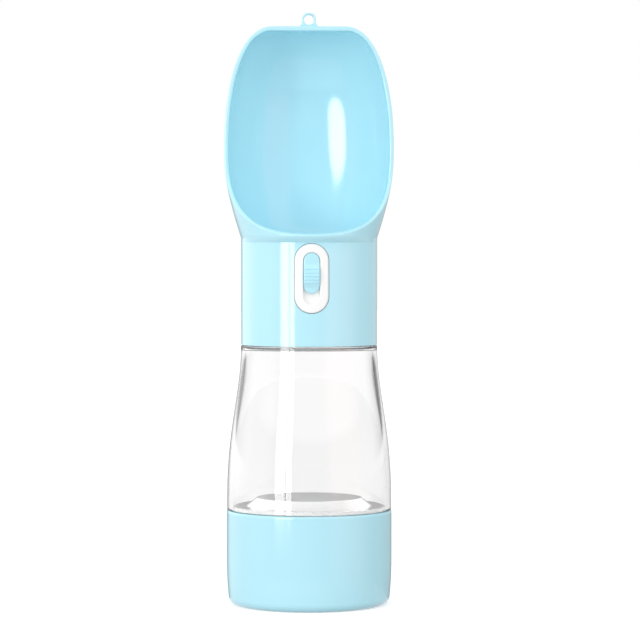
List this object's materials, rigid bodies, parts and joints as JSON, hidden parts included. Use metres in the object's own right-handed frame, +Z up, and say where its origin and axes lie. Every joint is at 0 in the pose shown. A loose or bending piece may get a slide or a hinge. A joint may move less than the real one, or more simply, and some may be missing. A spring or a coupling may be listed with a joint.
{
  "type": "dog travel water bottle",
  "caption": "Two-in-one dog travel bottle: a screw-on food cup, a clear water reservoir and a scoop-shaped drinking bowl fed by a sprung push-button valve with a slide lock.",
  "frame": {"origin": "centre of the foot ring, on the surface the bottle stands on", "axes": "+Z up along the bottle; -Y is the front, which the bowl's opening and the button face; +X to the right seen from the front"},
  "size_m": [0.0746, 0.0726, 0.26],
  "materials": {
    "blue_abs": "moulded, satin gloss, pale blue",
    "clear_body": "clear moulded plastic, polished",
    "milky_floor": "milky translucent moulded plastic",
    "white_abs": "moulded, glossy, white",
    "silicone": "translucent white silicone, matt",
    "steel": "stainless wire and screws"
  },
  "bodies": {
    "food_cup": {"food_cup": "blue_abs", "cup_floor": "blue_abs"},
    "food_seal": {"food_gasket": "silicone"},
    "reservoir": {"reservoir_wall": "clear_body", "reservoir_floor": "milky_floor", "thread_skirt": "milky_floor"},
    "mouth_seal": {"mouth_gasket": "silicone"},
    "head": {"scoop_bowl": "blue_abs", "neck_shell": "blue_abs", "neck_ribs": "blue_abs", "hanging_eye": "blue_abs", "valve_housing": "white_abs", "housing_screws": "steel", "valve_seat": "silicone", "outlet_seal": "silicone", "stem_guide": "white_abs", "rod_bush": "white_abs", "rod_seal": "silicone", "button_guide": "white_abs"},
    "button": {"button": "white_abs", "push_rod": "white_abs", "lift_fork": "white_abs", "button_screws": "steel", "button_spring": "steel"},
    "lock": {"lock_slider": "blue_abs", "lock_clip": "white_abs"},
    "valve": {"valve_stem": "white_abs", "valve_plug": "silicone", "cross_pin": "steel", "valve_spring": "steel"}
  },
  "joints": [
    {"name": "reservoir_lift", "type": "slide", "parent": "food_cup", "child": "food_seal", "axis": [0, 0, 1], "range_m": [0, 0.012]},
    {"name": "reservoir_turn", "type": "hinge", "parent": "food_seal", "child": "reservoir", "pos_m": [0, 0, 0.0416], "axis": [0, 0, 1], "range_deg": [0, 540]},
    {"name": "head_lift", "type": "slide", "parent": "reservoir", "child": "mouth_seal", "axis": [0, 0, 1], "range_m": [0, 0.008]},
    {"name": "head_turn", "type": "hinge", "parent": "mouth_seal", "child": "head", "pos_m": [0, 0, 0.114], "axis": [0, 0, 1], "range_deg": [0, 360]},
    {"name": "button_press", "type": "slide", "parent": "head", "child": "button", "axis": [0, 1, 0], "range_m": [0, 0.0025], "stiffness_N_per_m": 600, "springref_m": -0.006, "deforming": ["button_spring"]},
    {"name": "lock_slide", "type": "slide", "parent": "button", "child": "lock", "axis": [0, 0, -1], "range_m": [0, 0.0046]},
    {"name": "valve_lift", "type": "slide", "parent": "head", "child": "valve", "axis": [0, 0, 1], "range_m": [0, 0.0025], "stiffness_N_per_m": 300, "springref_m": -0.003, "deforming": ["valve_spring"]}
  ],
  "couplings": [
    {"joint": "reservoir_lift", "follows": "reservoir_turn", "m_per_rad": 0.0012732},
    {"joint": "head_lift", "follows": "head_turn", "m_per_rad": 0.0012732},
    {"joint": "valve_lift", "follows": "button_press", "ratio": 1}
  ]
}
